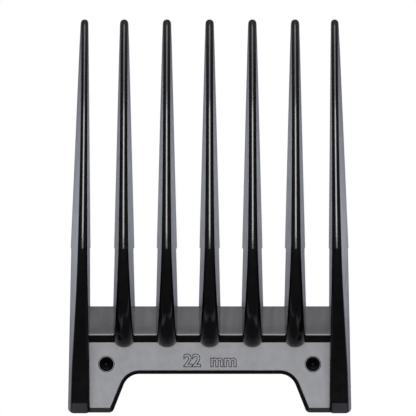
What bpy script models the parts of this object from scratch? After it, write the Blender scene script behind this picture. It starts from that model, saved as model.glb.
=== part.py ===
"""Clipper guard comb: a one-piece moulded comb with two riveted spring clips for the blade.

The guard lies on its back. X runs across the teeth, Y along them towards the tips, and Z out of the
front, the side that glides over the skin. The origin is at the centre of the bottom of the whole part.
Outlines in the YZ plane are given as distances (s, z): s runs along Y from the notch line, where the
blade's toothed edge lies, and is positive towards the tips.
"""
import math

import bmesh
import bpy
from mathutils import Vector

# Everything is modelled in millimetres, under an empty that scales it to metres.
MM_TO_M = 0.001

# The whole guard
LENGTH = 71.2
TOOTH_REACH = 41.4              # from the notch line to the tips
NOTCH_Y = LENGTH / 2 - TOOTH_REACH
LEG_END = TOOTH_REACH - LENGTH  # the legs' ends, as a distance s from the notch line
SEAT_Z = 4.2                    # the plane that the blade lies against
CUT_LENGTH = 22.2               # hair length left: the crest's height above the blade seat
PEAK_Z = SEAT_Z + CUT_LENGTH

# Teeth: wedges, thinner towards the crest and towards the tip
INNER_TEETH = 5
TOOTH_PITCH = 7.73
TOOTH_HALF = 1.85               # half thickness at the notch line, on the back edge
TOOTH_TAPER = 0.0259            # half thickness lost per length towards the tip
TOOTH_DRAFT = 0.0375            # half thickness lost per height towards the crest
CREST_ROUND = 0.3
PEAK_SLOPE = math.radians(17)   # the crest's slope where it leaves the peak towards the tip
NOSE_RADIUS = 1.5
HEEL_S = 4.4                    # centre and radius of the crest's arc down to the marking face
HEEL_Z = SEAT_Z + 0.15
HEEL_RADIUS = math.hypot(PEAK_Z - HEEL_Z, HEEL_S)

# Side teeth: the outermost teeth, continued down to the legs' ends as the guard's side walls
SIDE_INNER_X = 21.56            # inner and outer surface at the notch line, on the back edge
SIDE_OUTER_X = 25.17
SIDE_INNER_DRAFT = 0.0138       # shift in X per height
SIDE_OUTER_DRAFT = -0.0588
TIP_SPLAY = (0.009, -0.0436)    # shift in X of the inner and outer surface, per length to the tip
LEG_SPLAY = (0.003, -0.0203)    # the same below the notch line
SIDE_ARC_END = -9.4             # where the heel arc gives way to a straight slope
SIDE_KNEE = -20.5               # middle of the hollow curve that follows
SIDE_KNEE_RADIUS = 12.0
FACET_LENGTH = 1.84             # end facet, along Y
FACET_DROP = 2.05
FACET_TOP_DROP = 2.2            # from the knee's corner down to the facet
WALL_Z = 2.1                    # back edge of the side walls, which stand behind the blade seat
CHANNEL_HALF = 23.7             # half of the blade channel between the side walls

# Web, marking face and legs
WEB_TOP = -10.5
WEB_Z = SEAT_Z + 1.4
WEB_ROUND = 0.4
RIDGE_S = -15.7
RIDGE_Z = SEAT_Z + 4.3
FACE_TOP = -17.2
FACE_Z = SEAT_Z + 3.0
BRIDGE_END = -22.7              # lower edge of the bridge, at the top of the central cut-out
RIM_ROUND = 0.8
CUTOUT_TOP_X = 14.76
CUTOUT_END_X = 17.53
CUTOUT_RADIUS = 3.1
LEG_ROUND = 0.9
BASE_HALF = 24.2                # the face's sides, inside the side teeth
WEB_HALF = 23.9                 # the web's ends, also inside the side teeth
FACE_DIP = 0.2                  # how far below the face the ridge's lower slope runs in
LEG_STEP = 0.1                  # the legs end this far short of the side walls
CUT_MARGIN = 1.0                # how far the base's uncut back reaches into the blade channel

# Rivets and spring clips
RIVET_X = 18.65
RIVET_S = -20.95
HEAD_RADIUS = 1.3
HEAD_EDGE_RADIUS = 1.1          # the head's flat ring lies between these two radii
DIMPLE_RADIUS = 0.55
DIMPLE_FLOOR_RADIUS = 0.4
DIMPLE_DEPTH = 0.25
HEAD_CHAMFER = 0.2
HEAD_TOP_Z = FACE_Z - 0.15
HEAD_THICKNESS = 0.55
COUNTERBORE_RADIUS = 1.4
SHANK_RADIUS = 0.8
BORE_RADIUS = 0.45
TAIL_RADIUS = 1.15
TAIL_Z = SEAT_Z + 0.05
TAIL_THICKNESS = 0.35
TAIL_CHAMFER = 0.15
BORE_DEPTH = 1.3
BORE_CONE = 0.2                 # the bore's pointed bottom
HOLE_GAP = 0.2
COUNTERBORE_GAP = 0.1           # below the head
TURN_STEPS = 24
POCKET_Z = SEAT_Z + 1.3
POCKET_GAP = 0.3
LEAF_INNER_X = 16.4             # the leaf's plan: wide round the rivet, narrower along the leg
LEAF_OUTER_X = 22.3
LEAF_NECK_X = 18.4
LEAF_NECK_TOP = -23.4
LEAF_NECK_END = -27.4
STRIP_X = (15.0, 24.0)          # the strip before it is trimmed to that plan
TRIM_MARGIN = 1.0
STEEL = 0.5
LEAF_Z = POCKET_Z - 0.1         # the leaf's front surface
LEAF_TOP = -18.6
HOOK_END = LEG_END + 0.2        # outer surface of the hook
HOOK_REACH = 1.6                # the hook's lip, measured along Y
HOOK_TIP_Z = 0.9
BEND_RADIUS = 0.9

BLACK_PLASTIC = (0.012, 0.012, 0.013, 1.0)
SPRING_STEEL = (0.55, 0.55, 0.56, 1.0)
BLACK_OXIDE = (0.02, 0.02, 0.022, 1.0)


def clear_scene():
    for item in list(bpy.data.objects):
        bpy.data.objects.remove(item)


def make_scale_empty(collection):
    empty = bpy.data.objects.new("millimetres", None)
    empty.scale = (MM_TO_M, MM_TO_M, MM_TO_M)
    collection.objects.link(empty)


def make_collection(name):
    collection = bpy.data.collections.new(name)
    bpy.context.scene.collection.children.link(collection)
    return collection


def arc(centre, radius, start, end, steps):
    """Points on an arc from angle start to angle end, in radians, both ends included."""
    angles = [start + (end - start) * i / steps for i in range(steps + 1)]
    return [(centre[0] + radius * math.cos(a), centre[1] + radius * math.sin(a)) for a in angles]


def rounded(corners, steps=4):
    """An outline whose corners (a, b, radius) are replaced by tangent arcs."""
    points = []
    for i, (a, b, radius) in enumerate(corners):
        corner = Vector((a, b))
        if not radius:
            points.append((a, b))
            continue
        before = (Vector(corners[i - 1][:2]) - corner).normalized()
        after = (Vector(corners[(i + 1) % len(corners)][:2]) - corner).normalized()
        half = before.angle(after) / 2
        centre = corner + (before + after).normalized() * radius / math.sin(half)
        first = corner + before * radius / math.tan(half) - centre
        last = corner + after * radius / math.tan(half) - centre
        start = math.atan2(first.y, first.x)
        sweep = math.remainder(math.atan2(last.y, last.x) - start, math.tau)
        points += arc(centre, radius, start, start + sweep, steps)
    return points


def outline_mesh(name, outline, place, split=None):
    """A closed solid from a flat outline. place(a, b, side) gives a corner's position, side is -1 or 1.

    split adds an edge across both flanks at that value of a, for flanks that bend there.
    """
    curve = bpy.data.curves.new(name, "CURVE")
    curve.dimensions = "2D"
    curve.fill_mode = "BOTH"
    curve.extrude = 1.0
    spline = curve.splines.new("POLY")
    spline.points.add(len(outline) - 1)
    for point, (a, b) in zip(spline.points, outline):
        point.co = (a, b, 0.0, 1.0)
    spline.use_cyclic_u = True
    drawn = bpy.data.objects.new(name, curve)
    bpy.context.scene.collection.objects.link(drawn)
    graph = bpy.context.evaluated_depsgraph_get()
    mesh = bpy.data.meshes.new_from_object(drawn.evaluated_get(graph))
    bpy.data.objects.remove(drawn)

    shape = bmesh.new()
    shape.from_mesh(mesh)
    bmesh.ops.remove_doubles(shape, verts=shape.verts, dist=1e-4)
    if split is not None:
        bmesh.ops.bisect_plane(shape, geom=[*shape.verts, *shape.edges, *shape.faces],
                               plane_co=(split, 0.0, 0.0), plane_no=(1.0, 0.0, 0.0), dist=0.01)
    for vertex in shape.verts:
        a, b, side = vertex.co
        vertex.co = place(a, b, side)
    shape.normal_update()
    bmesh.ops.dissolve_limit(shape, angle_limit=math.radians(0.3), verts=shape.verts, edges=shape.edges)
    bmesh.ops.recalc_face_normals(shape, faces=shape.faces)
    shape.to_mesh(mesh)
    shape.free()
    return mesh


def add_object(name, mesh, collection):
    item = bpy.data.objects.new(name, mesh)
    item.parent = bpy.data.objects["millimetres"]
    collection.objects.link(item)
    return item


def hide_helper(item):
    item.hide_render = True
    item.display_type = "WIRE"
    return item


def round_edges(mesh, choose, width, segments):
    """Round the edges that choose(edge) picks."""
    shape = bmesh.new()
    shape.from_mesh(mesh)
    edges = [edge for edge in shape.edges if choose(edge)]
    bmesh.ops.bevel(shape, geom=edges, offset=width, offset_type="OFFSET", segments=segments,
                    profile=0.5, affect="EDGES", clamp_overlap=True)
    shape.to_mesh(mesh)
    shape.free()


def boolean(item, operation, other):
    modifier = item.modifiers.new(other.name, "BOOLEAN")
    modifier.operation = operation
    modifier.object = other
    modifier.solver = "EXACT"


def block_mesh(name, low, high):
    mesh = bpy.data.meshes.new(name)
    shape = bmesh.new()
    bmesh.ops.create_cube(shape, size=1.0)
    for vertex in shape.verts:
        vertex.co = [low[i] + (high[i] - low[i]) * (vertex.co[i] + 0.5) for i in range(3)]
    shape.to_mesh(mesh)
    shape.free()
    return mesh


def cylinder_mesh(name, x, s, radius, low, high, sides=32):
    mesh = bpy.data.meshes.new(name)
    shape = bmesh.new()
    bmesh.ops.create_cone(shape, cap_ends=True, segments=sides, radius1=radius, radius2=radius,
                          depth=high - low)
    bmesh.ops.translate(shape, verts=shape.verts, vec=(x, NOTCH_Y + s, (low + high) / 2))
    shape.to_mesh(mesh)
    shape.free()
    return mesh


def crest_to_tip():
    """The crest's arc from the peak, tangent to the nose at the tip, then the nose itself."""
    peak = Vector((0.0, PEAK_Z))
    nose = Vector((TOOTH_REACH - NOSE_RADIUS, NOSE_RADIUS))
    normal = Vector((math.sin(PEAK_SLOPE), math.cos(PEAK_SLOPE)))
    gap = nose - peak
    radius = (gap.length_squared - NOSE_RADIUS ** 2) / (-2 * normal.dot(gap) - 2 * NOSE_RADIUS)
    centre = peak - normal * radius
    end = math.atan2(nose.y - centre.y, nose.x - centre.x)
    crest = arc(centre, radius, math.pi / 2 - PEAK_SLOPE, end, 14)
    return crest + arc(nose, NOSE_RADIUS, end, -math.pi / 2, 4)[1:]


def heel_arc(end_angle, steps):
    """The crest's arc from the peak down towards the base."""
    start = math.atan2(PEAK_Z - HEEL_Z, -HEEL_S)
    return arc((HEEL_S, HEEL_Z), HEEL_RADIUS, start, end_angle, steps)


def tooth_half_thickness(s, z):
    return TOOTH_HALF - TOOTH_TAPER * s - TOOTH_DRAFT * z


def is_crest(edge):
    """An edge along the rim of a flank, off the back edge."""
    along = abs(edge.verts[0].co.x - edge.verts[1].co.x) < TOOTH_HALF / 2
    return along and min(vertex.co.z for vertex in edge.verts) > 0.2


def is_crest_above_facet(edge):
    facet_y = NOTCH_Y + LEG_END + FACET_LENGTH
    return is_crest(edge) and min(vertex.co.y for vertex in edge.verts) > facet_y - 0.001


def tooth_mesh(name, middle):
    def place(s, z, side):
        return (middle + side * tooth_half_thickness(s, z), NOTCH_Y + s, z)

    heel = heel_arc(math.pi, 12)
    outline = heel[::-1] + crest_to_tip()[1:] + [(HEEL_S - HEEL_RADIUS, 0.0)]
    mesh = outline_mesh(name, outline, place)
    round_edges(mesh, is_crest, CREST_ROUND, 2)
    return mesh


def side_tooth_mesh(name, hand):
    """A side tooth's crest falls in an arc, a straight slope and a hollow curve to an end facet."""
    arc_angle = math.acos((SIDE_ARC_END - HEEL_S) / HEEL_RADIUS)
    heel = heel_arc(arc_angle, 6)
    last = heel[-1]
    knee = (SIDE_KNEE, last[1] - (SIDE_KNEE - last[0]) / math.tan(arc_angle))
    facet = (LEG_END + FACET_LENGTH, knee[1] - FACET_TOP_DROP)
    corners = [(s, z, 0) for s, z in crest_to_tip()[::-1] + heel[1:]] + [
        (*knee, SIDE_KNEE_RADIUS), (*facet, 0),
        (LEG_END, facet[1] - FACET_DROP, 0), (LEG_END, 0.0, 0)]

    def place(s, z, side):
        splay = TIP_SPLAY if s > 0 else LEG_SPLAY
        inner = SIDE_INNER_X + splay[0] * s + SIDE_INNER_DRAFT * z
        outer = SIDE_OUTER_X + splay[1] * s + SIDE_OUTER_DRAFT * z
        return (hand * (inner if side < 0 else outer), NOTCH_Y + s, z)

    mesh = outline_mesh(name, rounded(corners), place, split=0.0)
    end_y = NOTCH_Y + LEG_END

    def is_end_corner(edge):
        ends = [vertex.co for vertex in edge.verts]
        return all(abs(end.y - end_y) < 0.001 for end in ends) and abs(ends[0].z - ends[1].z) > 1.0

    round_edges(mesh, is_end_corner, LEG_ROUND, 3)
    round_edges(mesh, is_crest_above_facet, CREST_ROUND, 2)
    return mesh


def base_mesh():
    """The marking face and the legs: a U in plan, with a rounded front rim round the cut-out."""
    end = LEG_END + LEG_STEP
    half = [(CUTOUT_TOP_X, BRIDGE_END, CUTOUT_RADIUS), (CUTOUT_END_X, end, LEG_ROUND),
            (BASE_HALF, end, 0), (BASE_HALF, RIDGE_S, 0)]
    corners = half + [(-x, s, radius) for x, s, radius in reversed(half)]

    def place(x, s, side):
        return (x, NOTCH_Y + s, FACE_Z if side > 0 else WALL_Z - CUT_MARGIN)

    mesh = outline_mesh("base", rounded(corners, 6), place)

    def is_rim(edge):
        middle = (edge.verts[0].co + edge.verts[1].co) / 2
        on_face = all(abs(vertex.co.z - FACE_Z) < 1e-4 for vertex in edge.verts)
        inside = middle.y < NOTCH_Y + BRIDGE_END + 0.01 and abs(middle.x) < CHANNEL_HALF
        return on_face and inside

    round_edges(mesh, is_rim, RIM_ROUND, 3)
    return mesh


def web_mesh():
    """The sloping web that ties the teeth, ending in a ridge above the marking face."""
    low = WALL_Z - CUT_MARGIN / 2
    outline = rounded([(WEB_TOP, low, 0), (WEB_TOP, WEB_Z, WEB_ROUND), (RIDGE_S, RIDGE_Z, WEB_ROUND),
                       (FACE_TOP, FACE_Z - FACE_DIP, 0), (FACE_TOP - CUT_MARGIN, low, 0)], 3)
    return outline_mesh("web", outline, lambda s, z, side: (side * WEB_HALF, NOTCH_Y + s, z))


def clip_plan(gap):
    """The stamped leaf's outline seen from the front, right-hand clip, grown by gap."""
    inner, outer, neck = LEAF_INNER_X - gap, LEAF_OUTER_X + gap, LEAF_NECK_X - gap
    below = LEG_END - TRIM_MARGIN
    return [(inner, LEAF_TOP + gap), (outer, LEAF_TOP + gap), (outer, below),
            (neck, below), (neck, LEAF_NECK_END), (inner, LEAF_NECK_TOP)]


def plan_mesh(name, hand, gap, low, high):
    return outline_mesh(name, clip_plan(gap),
                        lambda x, s, side: (hand * x, NOTCH_Y + s, high if side > 0 else low))


def clip_profile():
    """The bent strip seen from the side: leaf, hook and lip."""
    inner = BEND_RADIUS - STEEL
    lip_end = HOOK_END + HOOK_REACH
    return rounded([
        (LEAF_TOP, LEAF_Z, 0), (HOOK_END, LEAF_Z, BEND_RADIUS), (HOOK_END, HOOK_TIP_Z, BEND_RADIUS),
        (lip_end, HOOK_TIP_Z, 0), (lip_end, HOOK_TIP_Z + STEEL, 0),
        (HOOK_END + STEEL, HOOK_TIP_Z + STEEL, inner), (HOOK_END + STEEL, LEAF_Z - STEEL, inner),
        (LEAF_TOP, LEAF_Z - STEEL, 0)])


def set_origin(item, point):
    """Move an object's origin and leave its shape where it is."""
    for vertex in item.data.vertices:
        vertex.co -= Vector(point)
    item.location = point


def make_material(name, colour, roughness, metallic):
    material = bpy.data.materials.new(name)
    material.use_nodes = True
    shader = material.node_tree.nodes["Principled BSDF"]
    shader.inputs["Base Color"].default_value = colour
    shader.inputs["Roughness"].default_value = roughness
    shader.inputs["Metallic"].default_value = metallic
    return material


def make_comb_body(parts, helpers):
    """The moulding: base, web and teeth in one, less the blade channel and the rivet seats."""
    body = add_object("comb_body", base_mesh(), parts)
    solids = [add_object("web", web_mesh(), helpers)]
    for hand, word in ((-1, "left"), (1, "right")):
        solids.append(add_object("side_tooth_" + word, side_tooth_mesh("side_tooth_" + word, hand), helpers))
    for i in range(INNER_TEETH):
        name = "tooth_%d" % (i + 1)
        middle = (i - (INNER_TEETH - 1) / 2) * TOOTH_PITCH
        solids.append(add_object(name, tooth_mesh(name, middle), helpers))
    for solid in solids:
        boolean(body, "UNION", hide_helper(solid))

    far = 2 * LENGTH
    channel = block_mesh("blade_channel", (-CHANNEL_HALF, -far, -far), (CHANNEL_HALF, NOTCH_Y, SEAT_Z))
    trim = block_mesh("wall_trim", (-far, -far, -far), (far, NOTCH_Y, WALL_Z))
    cutters = [add_object("blade_channel", channel, helpers), add_object("wall_trim", trim, helpers)]
    for hand, word in ((-1, "left"), (1, "right")):
        pocket = plan_mesh("pocket_" + word, hand, POCKET_GAP, WALL_Z, POCKET_Z)
        counterbore = cylinder_mesh("counterbore_" + word, hand * RIVET_X, RIVET_S, COUNTERBORE_RADIUS,
                                    HEAD_TOP_Z - HEAD_THICKNESS - COUNTERBORE_GAP, RIDGE_Z)
        hole = cylinder_mesh("hole_" + word, hand * RIVET_X, RIVET_S, SHANK_RADIUS + HOLE_GAP,
                             SEAT_Z, RIDGE_Z)
        cutters += [add_object(mesh.name, mesh, helpers) for mesh in (pocket, counterbore, hole)]
    for cutter in cutters:
        boolean(body, "DIFFERENCE", hide_helper(cutter))
    body.data.materials.append(make_material("black_plastic", BLACK_PLASTIC, 0.35, 0.0))
    return body


def make_spring_clip(name, hand, parts, helpers):
    """A strip bent to the clip's profile, then trimmed to its plan and pierced for the rivet."""
    inner, outer = STRIP_X
    strip = outline_mesh(name, clip_profile(),
                         lambda s, z, side: (hand * (outer if side > 0 else inner), NOTCH_Y + s, z))
    clip = add_object(name, strip, parts)
    blank = add_object(name + "_blank", plan_mesh(name + "_blank", hand, 0.0, -PEAK_Z, PEAK_Z), helpers)
    boolean(clip, "INTERSECT", hide_helper(blank))
    hole = cylinder_mesh(name + "_hole", hand * RIVET_X, RIVET_S, SHANK_RADIUS + HOLE_GAP, 0.0, FACE_Z)
    boolean(clip, "DIFFERENCE", hide_helper(add_object(name + "_hole", hole, helpers)))
    set_origin(clip, (hand * RIVET_X, NOTCH_Y + LEAF_TOP, LEAF_Z - STEEL / 2))
    clip.data.materials.append(make_material(name + "_steel", SPRING_STEEL, 0.3, 1.0))
    return clip


def make_rivet(name, hand, parts):
    """A semi-tubular rivet: dimpled head in front, rolled tail and bore behind."""
    head_under = HEAD_TOP_Z - HEAD_THICKNESS
    tail_top = TAIL_Z + TAIL_THICKNESS
    bore_end = TAIL_Z + BORE_DEPTH
    profile = [(0.0, HEAD_TOP_Z - DIMPLE_DEPTH), (DIMPLE_FLOOR_RADIUS, HEAD_TOP_Z - DIMPLE_DEPTH),
               (DIMPLE_RADIUS, HEAD_TOP_Z), (HEAD_EDGE_RADIUS, HEAD_TOP_Z),
               (HEAD_RADIUS, HEAD_TOP_Z - HEAD_CHAMFER), (HEAD_RADIUS, head_under),
               (SHANK_RADIUS, head_under), (SHANK_RADIUS, tail_top),
               (TAIL_RADIUS, tail_top), (TAIL_RADIUS, TAIL_Z + TAIL_CHAMFER),
               (TAIL_RADIUS - TAIL_CHAMFER, TAIL_Z), (BORE_RADIUS, TAIL_Z),
               (BORE_RADIUS, bore_end), (0.0, bore_end + BORE_CONE)]
    mesh = bpy.data.meshes.new(name)
    mesh.from_pydata([(r, 0.0, z) for r, z in profile], [(i, i + 1) for i in range(len(profile) - 1)], [])
    rivet = add_object(name, mesh, parts)
    rivet.location = (hand * RIVET_X, NOTCH_Y + RIVET_S, 0.0)
    screw = rivet.modifiers.new("turn", "SCREW")
    screw.steps = screw.render_steps = TURN_STEPS
    screw.use_merge_vertices = True
    screw.merge_threshold = 0.0001
    screw.use_smooth_shade = True
    rivet.data.materials.append(make_material(name + "_oxide", BLACK_OXIDE, 0.3, 1.0))
    return rivet


def main():
    clear_scene()
    parts = make_collection("clipper_guard_comb")
    helpers = make_collection("helpers")
    make_scale_empty(parts)
    make_comb_body(parts, helpers)
    for hand, word in ((-1, "left"), (1, "right")):
        make_spring_clip("spring_clip_" + word, hand, parts, helpers)
        make_rivet("rivet_" + word, hand, parts)


main()
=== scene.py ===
"""Clipper guard comb: the finished surfaces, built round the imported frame.

The guard lies on its back under softboxes that run from overhead to the tips' horizon. X runs across
the teeth, Y towards the tips and Z out of the front. Shapes are worked out in millimetres, with s
measured along Y from the notch line, where the blade's toothed edge lies, and are scaled to metres when
they are placed. The stage, below the pieces, is in metres.
"""
import math

import bmesh
import bpy
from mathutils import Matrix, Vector


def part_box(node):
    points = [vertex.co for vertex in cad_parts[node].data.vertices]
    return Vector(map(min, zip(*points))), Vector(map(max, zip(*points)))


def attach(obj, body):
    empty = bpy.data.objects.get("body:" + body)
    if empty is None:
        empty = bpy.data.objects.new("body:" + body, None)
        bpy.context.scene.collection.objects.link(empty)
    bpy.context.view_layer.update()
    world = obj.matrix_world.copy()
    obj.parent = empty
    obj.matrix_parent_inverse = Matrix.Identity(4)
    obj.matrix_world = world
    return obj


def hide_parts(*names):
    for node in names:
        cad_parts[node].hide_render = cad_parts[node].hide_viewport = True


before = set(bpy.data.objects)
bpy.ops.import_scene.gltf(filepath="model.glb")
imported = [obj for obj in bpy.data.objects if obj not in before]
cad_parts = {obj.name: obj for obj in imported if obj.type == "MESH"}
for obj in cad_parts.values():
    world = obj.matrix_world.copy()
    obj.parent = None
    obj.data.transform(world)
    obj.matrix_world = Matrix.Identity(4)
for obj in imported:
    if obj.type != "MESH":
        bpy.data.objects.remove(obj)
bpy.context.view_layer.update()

MM = 0.001
TOLERANCE = 0.01                # for faces and edges that lie in a known plane
LINE_TOLERANCE = 0.001          # for points that lie on the notch line
SHARP_ANGLE = math.radians(16)  # edges sharper than this aren't shaded smoothly


def box_mm(node):
    return [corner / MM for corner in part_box(node)]


BODY_LOW, BODY_HIGH = box_mm("comb_body")
RIVET_LOW, RIVET_HIGH = box_mm("rivet_right")
CLIP_LOW, CLIP_HIGH = box_mm("spring_clip_right")
HANDS = ((-1, "left"), (1, "right"))

# The whole guard
TOOTH_REACH = 41.4              # from the notch line to the tips
NOTCH_Y = BODY_HIGH.y - TOOTH_REACH
LEG_END = BODY_LOW.y - NOTCH_Y
PEAK_Z = BODY_HIGH.z
SEAT_Z = 4.2                    # the plane that the blade lies against

# Teeth
INNER_TEETH = 5
TOOTH_PITCH = 7.73
TOOTH_HALF = 1.85               # half thickness at the notch line, on the back edge
TOOTH_TAPER = 0.0259            # half thickness lost per length towards the tip
TOOTH_DRAFT = 0.0375            # half thickness lost per height towards the crest
PEAK_SLOPE = math.radians(17)   # the crest's slope where it leaves the peak towards the tip
NOSE_RADIUS = 1.5
HEEL_S = 4.4                    # centre and radius of the crest's arc down to the marking face
HEEL_Z = SEAT_Z + 0.15
HEEL_RADIUS = math.hypot(PEAK_Z - HEEL_Z, HEEL_S)
CREST_ROUND = 0.95              # depth of the crest's rounding, against half its thickness
RAIL_ROUND = 0.5                # the same where the side teeth run on as rails
BACK_ROUND = 0.22 / TOOTH_HALF  # the same on the back edges, which are only crowned
END_LEAD = 1.0                  # from a back edge's end to its next point
ROUND_STEPS = 7                 # faces across each half of a rounded rim
DEPTH_PASSES = 12               # a rounding's depth settles in this many passes

# The back edge's last points, where the rounding grows to the nose's: ((s, z), roundness)
BACK_TO_NOSE = [((TOOTH_REACH - 4.5, 0.0), BACK_ROUND / 0.45), ((TOOTH_REACH - 3.5, 0.0), 0.6),
                ((TOOTH_REACH - 2.5, 0.0), 0.9)]

# Side teeth
SIDE_INNER_X = 21.56            # inner and outer surface at the notch line, on the back edge
SIDE_OUTER_X = 25.17
SIDE_INNER_DRAFT = 0.0138       # shift in X per height
SIDE_OUTER_DRAFT = -0.0588
TIP_SPLAY = (0.009, -0.0436)    # shift in X of the inner and outer surface, per length to the tip
LEG_SPLAY = (0.003, -0.0203)    # the same below the notch line
SIDE_ARC_END = -9.4             # where the heel arc gives way to a straight slope
SIDE_KNEE = -20.5               # middle of the hollow curve that follows
SIDE_KNEE_RADIUS = 12.0
FACET_LENGTH = 1.84             # end facet, along Y
FACET_DROP = 2.05
FACET_TOP_DROP = 2.2            # from the knee's corner down to the facet
FACET_ROUND = 0.45              # depth of the rounding at the facet's top, against half the thickness
FOOT_ROUND = 0.4                # the same below the facet and at the back corner
WALL_Z = 2.1                    # back edge of the side walls, which stand behind the blade seat
CHANNEL_HALF = 23.7             # half of the blade channel between the side walls

# Web, marking face and legs
WEB_TOP = -10.5
WEB_Z = SEAT_Z + 1.4
WEB_ROUND = 0.25
WEB_SAG = 0.17                  # hollow in the web's slope
SAG_SHARES = (0.2, 0.3, 0.4, 0.5, 0.6, 0.7)     # where its points lie, from the top to the ridge
RIDGE_S = -15.7
RIDGE_Z = SEAT_Z + 4.3
RIDGE_RADIUS = 0.9
FACE_TOP = -17.2
FACE_Z = SEAT_Z + 3.0
FACE_DIP = 0.2                  # how far below the face the ridge's lower slope runs in
BRIDGE_END = -22.7              # lower edge of the bridge, at the top of the central cut-out
RIM_ROUND = 0.8                 # radius of the face's rim round the cut-out
RIM_STEPS = 8
CUTOUT_TOP_X = 14.76
CUTOUT_END_X = 17.53
CUTOUT_RADIUS = 3.1
LEG_ROUND = 0.9
LEG_STEP = 0.1                  # the legs end this far short of the side walls
BASE_HALF = 24.2                # the face's sides, inside the side teeth
WEB_HALF = BASE_HALF - 0.3      # the web's ends, also inside the side teeth
CUT_MARGIN = 1.0                # how far the uncut base stands behind the side walls
CUT_OVERSHOOT = 0.1             # how far a cutter stands out of the face it opens

# The legs' end edges are cut to this chamfer, whose corner at the face is soft: (inset, drop) at
# RIM_STEPS + 1 points. The rim's rounding turns into it over CHAMFER_BLEND, beginning at CHAMFER_START.
LEG_CHAMFER = [(0.0, 0.95), (0.28, 0.63), (0.56, 0.3), (0.62, 0.23), (0.68, 0.165), (0.73, 0.11),
               (0.78, 0.065), (0.83, 0.025), (0.88, 0.0)]
CHAMFER_START = LEG_END + 1.0
CHAMFER_BLEND = 0.8

# Size marking
TEXT_X = 0.1
TEXT_S = -21.3                  # the letters' foot
TEXT_SIZE = 3.1
TEXT_SINK = 0.05                # how far the letters' middle lies below the face

# Rivets and spring clips
RIVET_X = (RIVET_LOW.x + RIVET_HIGH.x) / 2
RIVET_S = (RIVET_LOW.y + RIVET_HIGH.y) / 2 - NOTCH_Y
HEAD_RADIUS = (RIVET_HIGH.x - RIVET_LOW.x) / 2
HEAD_TOP_Z = RIVET_HIGH.z
HEAD_THICKNESS = 0.55
COUNTERBORE_RADIUS = 1.4
COUNTERBORE_GAP = 0.1           # below the head
COUNTERBORE_FLARE = 0.12        # how much its mouth's cutter widens
COUNTERBORE_MOUTH = 0.3         # how deep below the face that cutter starts
SHANK_RADIUS = 0.8
BORE_RADIUS = 0.45
BORE_DEPTH = 1.3
BORE_CONE = 0.2                 # the bore's pointed bottom
TAIL_RADIUS = 1.15
TAIL_Z = RIVET_LOW.z
TAIL_THICKNESS = 0.35
HOLE_GAP = 0.2
POCKET_Z = SEAT_Z + 1.3
POCKET_GAP = 0.3
LEAF_INNER_X = 16.4             # the leaf's plan: wide round the rivet, narrower along the leg
LEAF_OUTER_X = 22.3
LEAF_NECK_X = 18.4
LEAF_NECK_TOP = -23.4
LEAF_NECK_END = -27.4
STRIP_X = (15.0, 24.0)          # the strip before it is trimmed to that plan
TRIM_MARGIN = 1.0
STEEL = 0.5
LEAF_Z = CLIP_HIGH.z            # the leaf's front surface
LEAF_TOP = CLIP_HIGH.y - NOTCH_Y
HOOK_END = CLIP_LOW.y - NOTCH_Y
HOOK_REACH = 1.6                # the hook's lip, measured along Y
HOOK_TIP_Z = CLIP_LOW.z
BEND_RADIUS = 0.9

# The rivet's head from its dimpled middle to its rim: (radius, depth below the top, corner's radius)
HEAD_PROFILE = [(0.0, 0.42, 0), (0.36, 0.36, 0.1), (0.5, 0.16, 0.08), (1.06, 0.0, 0.03),
                (HEAD_RADIUS, 0.24, 0.08)]


# ---------------------------------------------------------------- outlines

def arc(centre, radius, start, end, steps):
    """Points on an arc from angle start to angle end, in radians, both ends included."""
    angles = [start + (end - start) * i / steps for i in range(steps + 1)]
    return [(centre[0] + radius * math.cos(a), centre[1] + radius * math.sin(a)) for a in angles]


def rounded(corners, steps):
    """An outline whose corners (a, b, radius) are replaced by tangent arcs."""
    points = []
    for i, (a, b, radius) in enumerate(corners):
        corner = Vector((a, b))
        if not radius:
            points.append((a, b))
            continue
        before = (Vector(corners[i - 1][:2]) - corner).normalized()
        after = (Vector(corners[(i + 1) % len(corners)][:2]) - corner).normalized()
        half = before.angle(after) / 2
        centre = corner + (before + after).normalized() * radius / math.sin(half)
        first = corner + before * radius / math.tan(half) - centre
        last = corner + after * radius / math.tan(half) - centre
        start = math.atan2(first.y, first.x)
        sweep = math.remainder(math.atan2(last.y, last.x) - start, math.tau)
        points += arc(centre, radius, start, start + sweep, steps)
    return points


def signed_area(outline):
    return sum(a[0] * b[1] - b[0] * a[1] for a, b in zip(outline, outline[1:] + outline[:1])) / 2


def inward_normals(outline):
    """The mitred inward normal at each point of a closed outline."""
    turn = 1 if signed_area(outline) > 0 else -1
    normals = []
    for i, point in enumerate(outline):
        here = Vector(point)
        before = (here - Vector(outline[i - 1])).normalized()
        after = (Vector(outline[(i + 1) % len(outline)]) - here).normalized()
        mean = (before + after).normalized()
        normals.append(turn * Vector((-mean.y, mean.x)) / mean.dot(after))
    return normals


def prism(outline, place):
    """A solid between two copies of an outline. place(a, b, side) gives a corner's position."""
    shape = bmesh.new()
    ends = [[shape.verts.new(place(a, b, side)) for a, b in outline] for side in (-1, 1)]
    for ring in ends:
        shape.faces.new(ring)
    for i in range(len(outline)):
        j = (i + 1) % len(outline)
        shape.faces.new((ends[0][i], ends[0][j], ends[1][j], ends[1][i]))
    bmesh.ops.recalc_face_normals(shape, faces=shape.faces)
    return shape


def cylinder(x, s, radius, low, high, sides=64, flare=0.0):
    shape = bmesh.new()
    bmesh.ops.create_cone(shape, cap_ends=True, segments=sides, radius1=radius, radius2=radius + flare,
                          depth=high - low)
    bmesh.ops.translate(shape, verts=shape.verts, vec=(x, NOTCH_Y + s, (low + high) / 2))
    return shape


def block(low, high):
    shape = bmesh.new()
    bmesh.ops.create_cube(shape, size=1.0)
    for vertex in shape.verts:
        vertex.co = [low[i] + (high[i] - low[i]) * (vertex.co[i] + 0.5) for i in range(3)]
    return shape


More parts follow.
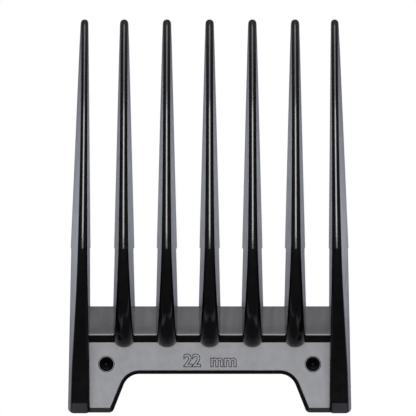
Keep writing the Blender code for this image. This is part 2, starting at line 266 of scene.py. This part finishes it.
# ---------------------------------------------------------------- teeth

def crest_front():
    """The profile from under the nose, round the tip and up the crest to the peak."""
    peak = Vector((0.0, PEAK_Z))
    nose = Vector((TOOTH_REACH - NOSE_RADIUS, NOSE_RADIUS))
    normal = Vector((math.sin(PEAK_SLOPE), math.cos(PEAK_SLOPE)))
    gap = nose - peak
    radius = (gap.length_squared - NOSE_RADIUS ** 2) / (-2 * normal.dot(gap) - 2 * NOSE_RADIUS)
    centre = peak - normal * radius
    end = math.atan2(nose.y - centre.y, nose.x - centre.x)
    return (arc(nose, NOSE_RADIUS, -math.pi / 2, end, steps=12)
            + arc(centre, radius, end, math.pi / 2 - PEAK_SLOPE, steps=44)[1:])


def crest_heel(end_angle, steps):
    """The profile from the peak down the heel's arc."""
    start = math.atan2(PEAK_Z - HEEL_Z, -HEEL_S)
    return arc((HEEL_S, HEEL_Z), HEEL_RADIUS, start, end_angle, steps)


def loft(rim, limits):
    """A tooth: two flat flanks joined all round the profile by a rounded rim.

    rim holds the profile's points with the depth of the rounding at each of them, against half the
    thickness there, as ((s, z), depth), and limits(s, z) gives the X of the two flanks. Where the profile
    has two points on the notch line, s = 0, the flanks may bend along the line between them.
    """
    shape = bmesh.new()
    rows = []
    bend = []
    for (point, share), normal in zip(rim, inward_normals([point for point, _ in rim])):
        depth = 0.0
        for _ in range(DEPTH_PASSES):
            low, high = limits(point[0] + normal.x * depth, point[1] + normal.y * depth)
            depth = share * abs(high - low) / 2
        turn = math.copysign(depth, high - low)
        row = []
        for flank, steps in ((low + turn, range(-ROUND_STEPS, 1)), (high - turn, range(ROUND_STEPS + 1))):
            for k in steps:
                angle = math.pi / 2 * k / ROUND_STEPS
                inset = depth * (1 - math.cos(angle))
                row.append(shape.verts.new((flank + turn * math.sin(angle),
                                            NOTCH_Y + point[0] + normal.x * inset,
                                            point[1] + normal.y * inset)))
        rows.append(row)
        if abs(point[0]) < LINE_TOLERANCE:
            bend.append(row)
    for first, second in zip(rows, rows[1:] + rows[:1]):
        for k in range(2 * ROUND_STEPS + 1):
            shape.faces.new((first[k], first[k + 1], second[k + 1], second[k]))
    flanks = [shape.faces.new([row[side] for row in rows]) for side in (0, -1)]
    if len(bend) == 2:
        flanks += [bmesh.utils.face_split(flank, bend[0][side], bend[1][side])[0]
                   for flank, side in zip(flanks, (0, -1))]
    bmesh.ops.triangulate(shape, faces=flanks)
    bmesh.ops.recalc_face_normals(shape, faces=shape.faces)
    return shape


def inner_tooth(middle):
    def limits(s, z):
        half = TOOTH_HALF - TOOTH_TAPER * s - TOOTH_DRAFT * z
        return middle - half, middle + half

    foot = HEEL_S - HEEL_RADIUS
    crest = crest_front() + crest_heel(math.pi, steps=40)[1:]
    rim = [(point, CREST_ROUND) for point in crest]
    rim += [((foot, 0.0), BACK_ROUND), ((foot + END_LEAD, 0.0), BACK_ROUND)]
    return loft(rim + BACK_TO_NOSE, limits)


def side_tooth(hand):
    """The crest falls in an arc, a straight slope and a hollow curve, and ends in a facet."""
    arc_angle = math.acos((SIDE_ARC_END - HEEL_S) / HEEL_RADIUS)
    heel = crest_heel(arc_angle, steps=16)[1:]
    last = heel[-1]
    knee = (SIDE_KNEE, last[1] - (SIDE_KNEE - last[0]) / math.tan(arc_angle))
    facet = (LEG_END + FACET_LENGTH, knee[1] - FACET_TOP_DROP)
    foot = (LEG_END, facet[1] - FACET_DROP)
    fall = rounded([(*last, 0), (*knee, SIDE_KNEE_RADIUS), (*facet, 0)], steps=16)[1:-1]

    def limits(s, z):
        splay = TIP_SPLAY if s > 0 else LEG_SPLAY
        inner = SIDE_INNER_X + splay[0] * s + SIDE_INNER_DRAFT * z
        outer = SIDE_OUTER_X + splay[1] * s + SIDE_OUTER_DRAFT * z
        return hand * inner, hand * outer

    rim = [(point, CREST_ROUND) for point in crest_front()]
    rim += [(point, CREST_ROUND + (RAIL_ROUND - CREST_ROUND) * i / len(heel))
            for i, point in enumerate(heel)]
    rim += [(point, RAIL_ROUND) for point in fall]
    rim += [(facet, FACET_ROUND), (foot, FOOT_ROUND), ((LEG_END, 0.0), FOOT_ROUND),
            ((LEG_END + END_LEAD, 0.0), BACK_ROUND), ((0.0, 0.0), BACK_ROUND)]
    return loft(rim + BACK_TO_NOSE, limits)


# ---------------------------------------------------------------- base and web

def base_plate():
    """The marking face and the legs: a U in plan, rounded round the cut-out and chamfered at the ends."""
    end = LEG_END + LEG_STEP
    half = [(CUTOUT_TOP_X, BRIDGE_END, CUTOUT_RADIUS), (CUTOUT_END_X, end, LEG_ROUND),
            (BASE_HALF, end, 0), (BASE_HALF, RIDGE_S, 0)]
    outline = rounded(half + [(-x, s, radius) for x, s, radius in reversed(half)], steps=16)
    normals = inward_normals(outline)
    fillet = [(RIM_ROUND * (1 - math.cos(a)), RIM_ROUND * (1 - math.sin(a)))
              for a in (math.pi / 2 * k / RIM_STEPS for k in range(RIM_STEPS + 1))]
    shape = bmesh.new()
    levels = [[shape.verts.new((x, NOTCH_Y + s, WALL_Z - CUT_MARGIN)) for x, s in outline]]
    for round_edge, cut_edge in zip(fillet, LEG_CHAMFER):
        ring = []
        for (x, s), normal in zip(outline, normals):
            share = min(1.0, max(0.0, (CHAMFER_START - s) / CHAMFER_BLEND))
            inset = round_edge[0] + share * (cut_edge[0] - round_edge[0])
            drop = round_edge[1] + share * (cut_edge[1] - round_edge[1])
            ring.append(shape.verts.new((x + normal.x * inset, NOTCH_Y + s + normal.y * inset,
                                         FACE_Z - drop)))
        levels.append(ring)
    for first, second in zip(levels, levels[1:]):
        for i in range(len(outline)):
            j = (i + 1) % len(outline)
            shape.faces.new((first[i], first[j], second[j], second[i]))
    shape.faces.new(levels[0])
    shape.faces.new(levels[-1])
    bmesh.ops.recalc_face_normals(shape, faces=shape.faces)
    return shape


def web():
    """The sloping web that ties the teeth, ending in a rounded ridge above the marking face."""
    low = WALL_Z - CUT_MARGIN / 2
    slope = [(WEB_TOP + (RIDGE_S - WEB_TOP) * t,
              WEB_Z + (RIDGE_Z - WEB_Z) * t - 4 * WEB_SAG * t * (1 - t), 0) for t in SAG_SHARES]
    outline = rounded([(WEB_TOP, low, 0), (WEB_TOP, WEB_Z, WEB_ROUND), *slope,
                       (RIDGE_S, RIDGE_Z, RIDGE_RADIUS), (FACE_TOP, FACE_Z - FACE_DIP, 0),
                       (FACE_TOP - CUT_MARGIN / 2, low, 0)], steps=10)
    return prism(outline, lambda s, z, side: (side * WEB_HALF, NOTCH_Y + s, z))


def clip_plan(gap):
    """The stamped leaf's outline seen from the front, right-hand clip, grown by gap."""
    inner, outer, neck = LEAF_INNER_X - gap, LEAF_OUTER_X + gap, LEAF_NECK_X - gap
    below = LEG_END - TRIM_MARGIN
    return [(inner, LEAF_TOP + gap), (outer, LEAF_TOP + gap), (outer, below),
            (neck, below), (neck, LEAF_NECK_END), (inner, LEAF_NECK_TOP)]


def plan_block(hand, gap, low, high):
    return prism(clip_plan(gap),
                 lambda x, s, side: (hand * x, NOTCH_Y + s, high if side > 0 else low))


# ---------------------------------------------------------------- making meshes

def place_object(name, shape, scale=1.0):
    mesh = bpy.data.meshes.new(name)
    bmesh.ops.scale(shape, verts=shape.verts, vec=(scale, scale, scale))
    shape.to_mesh(mesh)
    shape.free()
    item = bpy.data.objects.new(name, mesh)
    bpy.context.scene.collection.objects.link(item)
    return item


def combined(base, steps):
    """The bmesh that results from joining and cutting base with the shapes in steps."""
    item = place_object("combined", base)
    helpers = [item]
    for operation, shape in steps:
        helper = place_object("helper", shape)
        helpers.append(helper)
        modifier = item.modifiers.new("step", "BOOLEAN")
        modifier.operation = operation
        modifier.object = helper
        modifier.solver = "EXACT"
    graph = bpy.context.evaluated_depsgraph_get()
    result = bmesh.new()
    result.from_object(item, graph)
    for helper in helpers:
        mesh = helper.data
        bpy.data.objects.remove(helper)
        bpy.data.meshes.remove(mesh)
    return result


def soften(shape, angle, width, segments, choose=lambda edge: True):
    """Round those edges that choose(edge) picks and where two faces meet at more than angle degrees."""
    edges = [edge for edge in shape.edges if len(edge.link_faces) == 2
             and edge.calc_face_angle(0.0) > math.radians(angle) and choose(edge)]
    bmesh.ops.bevel(shape, geom=edges, offset=width, offset_type="OFFSET", segments=segments,
                    profile=0.5, affect="EDGES", clamp_overlap=False)


def finish_piece(name, shape, body, nodes, materials):
    """Scale a shape to metres, shade it smoothly between its sharp edges and hand it to the frame."""
    item = place_object(name, shape, MM)
    for material in materials:
        item.data.materials.append(material)
    for polygon in item.data.polygons:
        polygon.use_smooth = True
    item.data.set_sharp_from_angle(angle=SHARP_ANGLE)
    weighted = item.modifiers.new("weighted_normals", "WEIGHTED_NORMAL")
    weighted.keep_sharp = True
    weighted.weight = 50
    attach(item, body)
    if nodes:
        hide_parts(*nodes)


def size_text():
    """The raised, generic size marking on the face, whose letters have sloping sides."""
    curve = bpy.data.curves.new("size_text", "FONT")
    curve.body = "22  mm"
    curve.size = TEXT_SIZE
    curve.align_x = "CENTER"
    curve.extrude = 0.1
    curve.bevel_depth = 0.13
    curve.bevel_resolution = 0
    curve.offset = 0.02
    curve.resolution_u = 4
    item = bpy.data.objects.new("size_text", curve)
    bpy.context.scene.collection.objects.link(item)
    item.location = (TEXT_X, NOTCH_Y + TEXT_S, FACE_Z - TEXT_SINK)
    bpy.context.view_layer.update()
    graph = bpy.context.evaluated_depsgraph_get()
    mesh = bpy.data.meshes.new_from_object(item.evaluated_get(graph))
    shape = bmesh.new()
    shape.from_mesh(mesh)
    bmesh.ops.transform(shape, matrix=item.matrix_world, verts=shape.verts)
    bmesh.ops.remove_doubles(shape, verts=shape.verts, dist=1e-4)
    bpy.data.objects.remove(item)
    bpy.data.meshes.remove(mesh)
    return shape


def on_channel_edge(edge):
    """A long edge of the blade seat or of the side walls' back, on the legs' side of the notch line."""
    return edge.calc_length() > 1.0 and all(
        vertex.co.y < NOTCH_Y + TOLERANCE
        and min(abs(vertex.co.z - SEAT_Z), abs(vertex.co.z - WALL_Z)) < TOLERANCE
        for vertex in edge.verts)


def comb_shell():
    solids = [web(), side_tooth(-1), side_tooth(1)]
    solids += [inner_tooth((i - (INNER_TEETH - 1) / 2) * TOOTH_PITCH) for i in range(INNER_TEETH)]
    far = 100.0
    cutters = [block((-CHANNEL_HALF, -far, -far), (CHANNEL_HALF, NOTCH_Y, SEAT_Z)),
               block((-far, -far, -far), (far, NOTCH_Y, WALL_Z))]
    for hand, _ in HANDS:
        x = hand * RIVET_X
        cutters += [
            plan_block(hand, POCKET_GAP, WALL_Z, POCKET_Z),
            cylinder(x, RIVET_S, COUNTERBORE_RADIUS, HEAD_TOP_Z - HEAD_THICKNESS - COUNTERBORE_GAP, RIDGE_Z),
            cylinder(x, RIVET_S, COUNTERBORE_RADIUS, FACE_Z - COUNTERBORE_MOUTH, FACE_Z + CUT_OVERSHOOT,
                     flare=COUNTERBORE_FLARE),
            cylinder(x, RIVET_S, SHANK_RADIUS + HOLE_GAP, SEAT_Z, RIDGE_Z)]
    shape = combined(base_plate(), [("UNION", solid) for solid in solids]
                     + [("DIFFERENCE", cutter) for cutter in cutters])
    soften(shape, angle=80.0, width=0.06, segments=1, choose=on_channel_edge)
    return shape


# ---------------------------------------------------------------- materials

def graded(tree, value, start, end, low, high):
    """low where value is below start, high where it is above end, and a straight line between them."""
    span = tree.nodes.new("ShaderNodeMapRange")
    span.inputs["From Min"].default_value = start
    span.inputs["From Max"].default_value = end
    span.inputs["To Min"].default_value = low
    span.inputs["To Max"].default_value = high
    tree.links.new(value, span.inputs["Value"])
    return span.outputs["Result"]


def blended(tree, factor, first, second):
    """The colour first where factor is 0, and second where it is 1."""
    blend = tree.nodes.new("ShaderNodeMix")
    blend.data_type = "RGBA"
    blend.inputs["A"].default_value = (*first, 1.0)
    blend.inputs["B"].default_value = (*second, 1.0)
    tree.links.new(factor, blend.inputs["Factor"])
    return blend.outputs["Result"]


class Surface:
    """A Principled material with short calls for the procedural nodes that feed it."""

    def __init__(self, name, roughness, metallic=0.0, **values):
        self.material = bpy.data.materials.new(name)
        self.material.use_nodes = True
        self.tree = self.material.node_tree
        self.shader = self.tree.nodes["Principled BSDF"]
        self.shader.inputs["Roughness"].default_value = roughness
        self.shader.inputs["Metallic"].default_value = metallic
        for socket, value in values.items():
            self.shader.inputs[socket.replace("_", " ")].default_value = value
        self.place = self.tree.nodes.new("ShaderNodeTexCoord").outputs["Object"]
        self.relief = None

    def texture(self, kind, size, stretch=(1.0, 1.0, 1.0)):
        """A texture node whose features are about size millimetres across, drawn out by stretch."""
        mapping = self.tree.nodes.new("ShaderNodeMapping")
        mapping.inputs["Scale"].default_value = [1.0 / (size * MM * factor) for factor in stretch]
        self.tree.links.new(self.place, mapping.inputs["Vector"])
        texture = self.tree.nodes.new(kind)
        texture.inputs["Scale"].default_value = 1.0
        self.tree.links.new(mapping.outputs["Vector"], texture.inputs["Vector"])
        return texture

    def noise(self, size, stretch=(1.0, 1.0, 1.0), detail=3.0):
        texture = self.texture("ShaderNodeTexNoise", size, stretch)
        texture.inputs["Detail"].default_value = detail
        return texture.outputs["Fac"]

    def grain(self, size):
        """Rounded cells."""
        texture = self.texture("ShaderNodeTexVoronoi", size)
        texture.feature = "SMOOTH_F1"
        return texture.outputs["Distance"]

    def spread(self, value, low, high):
        """Noise stretched to run from low to high, since little of it lies near 0 or 1."""
        return graded(self.tree, value, 0.3, 0.7, low, high)

    def roughness(self, value, low, high):
        self.tree.links.new(self.spread(value, low, high), self.shader.inputs["Roughness"])

    def colour(self, value, first, second):
        result = blended(self.tree, self.spread(value, 0.0, 1.0), first, second)
        self.tree.links.new(result, self.shader.inputs["Base Color"])

    def bump(self, value, depth, strength=1.0):
        """Add relief of the given depth in millimetres."""
        bump = self.tree.nodes.new("ShaderNodeBump")
        bump.inputs["Strength"].default_value = strength
        bump.inputs["Distance"].default_value = depth * MM
        self.tree.links.new(value, bump.inputs["Height"])
        if self.relief:
            self.tree.links.new(self.relief, bump.inputs["Normal"])
        self.relief = bump.outputs["Normal"]
        self.tree.links.new(self.relief, self.shader.inputs["Normal"])


def polished_plastic():
    """Black plastic from the mould's polished cavities: faint waviness and draw marks along Y."""
    surface = Surface("comb_polished", 0.14)
    surface.colour(surface.noise(1.5), (0.0022, 0.0022, 0.0025), (0.0045, 0.0045, 0.005))
    surface.roughness(surface.noise(2.5), 0.11, 0.17)
    surface.bump(surface.noise(3.0, detail=1.0), 0.006)
    surface.bump(surface.noise(0.12, (1.0, 60.0, 4.0)), 0.0005)
    return surface.material


def textured_plastic():
    """The marking face and end facets: the same plastic, but grey with a fine spark-eroded grain."""
    surface = Surface("comb_textured", 0.34, Specular_IOR_Level=0.7)
    surface.colour(surface.noise(2.0), (0.04, 0.0405, 0.044), (0.048, 0.0485, 0.053))
    surface.roughness(surface.noise(1.2), 0.33, 0.37)
    surface.bump(surface.grain(0.11), 0.006, 0.4)
    return surface.material


def satin_plastic():
    """The web between the teeth: the same plastic with the marks of a ground mould."""
    surface = Surface("comb_satin", 0.45, Specular_IOR_Level=0.4)
    surface.colour(surface.noise(2.0), (0.009, 0.0088, 0.013), (0.012, 0.0118, 0.017))
    surface.roughness(surface.noise(1.2, (1.0, 6.0, 6.0)), 0.42, 0.48)
    surface.bump(surface.noise(0.15, (1.0, 12.0, 12.0)), 0.003)
    return surface.material


def brushed_steel():
    surface = Surface("clip_steel", 0.28, 1.0, Anisotropic=0.4)
    surface.colour(surface.noise(4.0), (0.5, 0.5, 0.51), (0.6, 0.6, 0.605))
    surface.roughness(surface.noise(0.2, (1.0, 30.0, 30.0)), 0.2, 0.36)
    surface.bump(surface.noise(0.08, (1.0, 50.0, 50.0)), 0.002)
    return surface.material


def black_oxide():
    surface = Surface("rivet_oxide", 0.35, 1.0)
    surface.colour(surface.noise(0.4), (0.0015, 0.0015, 0.0017), (0.004, 0.004, 0.0045))
    surface.roughness(surface.noise(0.25), 0.3, 0.45)
    surface.bump(surface.noise(0.12), 0.003)
    return surface.material


# ---------------------------------------------------------------- rivets and clips

def turned(profile, steps):
    """A solid turned about Z from (radius, z) points that begin and end on the axis."""
    shape = bmesh.new()
    rings = []
    for radius, z in profile:
        if radius:
            rings.append([shape.verts.new((radius * math.cos(math.tau * i / steps),
                                           radius * math.sin(math.tau * i / steps), z))
                          for i in range(steps)])
        else:
            rings.append([shape.verts.new((0.0, 0.0, z))] * steps)
    for first, second in zip(rings, rings[1:]):
        for i in range(steps):
            j = (i + 1) % steps
            corners = dict.fromkeys((first[i], first[j], second[j], second[i]))
            shape.faces.new(corners)
    bmesh.ops.recalc_face_normals(shape, faces=shape.faces)
    return shape


def rivet(hand):
    """A semi-tubular rivet: a dished head with a rolled rim, and a rolled tail round its bore."""
    under = HEAD_TOP_Z - HEAD_THICKNESS
    tail_top = TAIL_Z + TAIL_THICKNESS
    bore_top = TAIL_Z + BORE_DEPTH
    corners = [(radius, HEAD_TOP_Z - depth, corner) for radius, depth, corner in HEAD_PROFILE]
    corners += [(HEAD_RADIUS, under, 0.06), (SHANK_RADIUS, under, 0), (SHANK_RADIUS, tail_top, 0),
                (TAIL_RADIUS, tail_top, 0.1), (TAIL_RADIUS, TAIL_Z, 0.17), (BORE_RADIUS, TAIL_Z, 0.2),
                (BORE_RADIUS, bore_top, 0.1), (0.0, bore_top + BORE_CONE, 0)]
    shape = turned(rounded(corners, steps=6), steps=64)
    bmesh.ops.translate(shape, verts=shape.verts, vec=(hand * RIVET_X, NOTCH_Y + RIVET_S, 0.0))
    return shape


def clip_profile():
    """The bent strip seen from the side: leaf, hook and lip."""
    inner = BEND_RADIUS - STEEL
    lip_end = HOOK_END + HOOK_REACH
    return rounded([
        (LEAF_TOP, LEAF_Z, 0), (HOOK_END, LEAF_Z, BEND_RADIUS), (HOOK_END, HOOK_TIP_Z, BEND_RADIUS),
        (lip_end, HOOK_TIP_Z, 0), (lip_end, HOOK_TIP_Z + STEEL, 0),
        (HOOK_END + STEEL, HOOK_TIP_Z + STEEL, inner), (HOOK_END + STEEL, LEAF_Z - STEEL, inner),
        (LEAF_TOP, LEAF_Z - STEEL, 0)], steps=10)


def spring_clip(hand):
    """The stamped leaf, bent to a hook, with the soft edges that tumbling leaves."""
    inner, outer = STRIP_X
    strip = prism(clip_profile(),
                  lambda s, z, side: (hand * (outer if side > 0 else inner), NOTCH_Y + s, z))
    blank = plan_block(hand, 0.0, -PEAK_Z, PEAK_Z)
    hole = cylinder(hand * RIVET_X, RIVET_S, SHANK_RADIUS + HOLE_GAP, 0.0, FACE_Z, sides=48)
    shape = combined(strip, [("INTERSECT", blank), ("DIFFERENCE", hole)])
    soften(shape, angle=45.0, width=0.07, segments=2)
    return shape


# ---------------------------------------------------------------- the pieces

COMB_MATERIALS = [polished_plastic(), textured_plastic(), satin_plastic()]
POLISHED, TEXTURED, SATIN = range(len(COMB_MATERIALS))
STEEL_MATERIAL = brushed_steel()
OXIDE_MATERIAL = black_oxide()


def comb_finish(face):
    """The number of the material on one of the comb's faces, which its place and slope tell."""
    centre, normal = face.calc_center_median(), face.normal
    on_face = abs(centre.z - FACE_Z) < TOLERANCE and normal.z > 0.99
    on_facet = centre.y < NOTCH_Y + LEG_END + FACET_LENGTH and normal.y < -0.6 and normal.z > 0.6
    on_web = NOTCH_Y + RIDGE_S < centre.y < NOTCH_Y + WEB_TOP and normal.y > 0.2 and normal.z > 0.7
    if on_face or on_facet:
        return TEXTURED
    return SATIN if on_web else POLISHED


shell = comb_shell()
for face in shell.faces:
    face.material_index = comb_finish(face)
finish_piece("comb_shell", shell, "guard", ["comb_body"], COMB_MATERIALS)

# The letters' tops are like the face, and their sloping sides are polished, so they outline the letters
marking = size_text()
for face in marking.faces:
    face.material_index = TEXTURED if face.normal.z > 0.9 else POLISHED
finish_piece("size_marking", marking, "guard", [], COMB_MATERIALS[:2])

for hand, word in HANDS:
    finish_piece("clip_leaf_" + word, spring_clip(hand), "clip_" + word, ["spring_clip_" + word],
                 [STEEL_MATERIAL])
    finish_piece("rivet_turned_" + word, rivet(hand), "guard", ["rivet_" + word],
                 [OXIDE_MATERIAL])


# ---------------------------------------------------------------- stage

SOFTBOX_DISTANCE = 1.2
FLOOR_HALF = 3.0
FLOOR_GAP = 0.0001              # between the guard's back and the floor
CAMERA_PLACE = (-0.000295, 0.00144, 2.4)


def softbox(name, low, high, half_width, radiance, colour=(1.0, 1.0, 1.0)):
    """A flat softbox facing the guard, spanning angles low to high from overhead towards the tips."""
    middle = math.radians((low + high) / 2)
    data = bpy.data.lights.new(name, "AREA")
    data.shape = "RECTANGLE"
    data.size = 2 * SOFTBOX_DISTANCE * math.tan(math.radians(half_width))
    data.size_y = 2 * SOFTBOX_DISTANCE * math.tan(math.radians((high - low) / 2))
    data.energy = radiance * math.pi * data.size * data.size_y
    data.color = colour
    light = bpy.data.objects.new(name, data)
    bpy.context.scene.collection.objects.link(light)
    light.location = (0.0, SOFTBOX_DISTANCE * math.sin(middle), SOFTBOX_DISTANCE * math.cos(middle))
    aim = Vector((0.0, 0.0, 0.0)) - light.location
    light.rotation_euler = aim.to_track_quat("-Z", "Y").to_euler()
    light.visible_camera = False


def painted_floor_shade(tree):
    """Painted shade on the floor, from 0 for dark to 1 for light, which only the polished plastic's
    mirroring shows.

    The painted shade falls off past the guard's sides and towards its tips, and over the guard's width it is
    dark from the web's lower half to the legs and beyond, standing in for shade on the floor.
    """
    axes = tree.nodes.new("ShaderNodeSeparateXYZ")
    tree.links.new(tree.nodes.new("ShaderNodeTexCoord").outputs["Object"], axes.inputs["Vector"])
    across, along = axes.outputs["X"], axes.outputs["Y"]

    def maths(operation, first, second):
        step = tree.nodes.new("ShaderNodeMath")
        step.operation = operation
        tree.links.new(first, step.inputs[0])
        tree.links.new(second, step.inputs[1])
        return step.outputs["Value"]

    def mirrored(operation, start, end, middle, outside):
        """middle near the guard's middle line and outside past it, changing from start to end."""
        return maths(operation, graded(tree, across, -end, -start, outside, middle),
                     graded(tree, across, start, end, middle, outside))

    beside_guard = mirrored("ADD", start=0.0245, end=0.026, middle=0.0, outside=1.0)
    tips_side = graded(tree, along, start=-0.024, end=-0.018, low=0.04, high=1.0)
    near = mirrored("MULTIPLY", start=0.04, end=0.055, middle=1.0, outside=0.05)
    lengthwise = maths("MULTIPLY", graded(tree, along, start=0.0, end=0.04, low=1.0, high=0.3),
                       graded(tree, along, start=-0.03, end=-0.005, low=0.6, high=1.0))
    return maths("MULTIPLY", maths("MULTIPLY", maths("MAXIMUM", beside_guard, tips_side), near),
                 lengthwise)


def floor_material():
    """White to the camera, and darkened by painted shade in what the guard mirrors."""
    material = bpy.data.materials.new("floor")
    material.use_nodes = True
    tree = material.node_tree
    shader = tree.nodes["Principled BSDF"]
    shader.inputs["Roughness"].default_value = 0.8
    # Painted shade: the floor's colour darkens by position where the guard mirrors it, standing in for shade
    # on the floor
    painted_shade_colour = blended(tree, painted_floor_shade(tree), (0.0, 0.0, 0.0), (0.41, 0.42, 0.47))
    tree.links.new(painted_shade_colour, shader.inputs["Base Color"])
    glow = tree.nodes.new("ShaderNodeEmission")
    glow.inputs["Strength"].default_value = 1.0
    mix = tree.nodes.new("ShaderNodeMixShader")
    tree.links.new(tree.nodes.new("ShaderNodeLightPath").outputs["Is Camera Ray"], mix.inputs["Fac"])
    tree.links.new(shader.outputs["BSDF"], mix.inputs[1])
    tree.links.new(glow.outputs["Emission"], mix.inputs[2])
    tree.links.new(mix.outputs["Shader"], tree.nodes["Material Output"].inputs["Surface"])
    return material


softbox("overhead", low=-16, high=24, half_width=16, radiance=7.2, colour=(0.98, 0.985, 1.03))
softbox("key", low=35, high=66, half_width=14, radiance=11.5)
softbox("horizon", low=66, high=89, half_width=14, radiance=3.2)

floor_shape = bmesh.new()
bmesh.ops.create_grid(floor_shape, x_segments=1, y_segments=1, size=FLOOR_HALF)
floor = place_object("floor", floor_shape)
floor.location.z = -FLOOR_GAP
floor.data.materials.append(floor_material())

# The backdrop is pale to the camera and dark in what the guard mirrors
world = bpy.data.worlds.new("studio")
world.use_nodes = True
tree = world.node_tree
camera_ray = tree.nodes.new("ShaderNodeLightPath").outputs["Is Camera Ray"]
backdrop = blended(tree, camera_ray, (0.05, 0.05, 0.052), (0.8, 0.8, 0.8))
tree.links.new(backdrop, tree.nodes["Background"].inputs["Color"])
bpy.context.scene.world = world

camera_data = bpy.data.cameras.new("camera")
camera_data.sensor_width = 36.0
camera_data.lens = 1147.0
camera_data.clip_end = 20.0
camera = bpy.data.objects.new("camera", camera_data)
bpy.context.scene.collection.objects.link(camera)
camera.location = CAMERA_PLACE
bpy.context.scene.camera = camera
bpy.context.scene.view_settings.view_transform = "Standard"
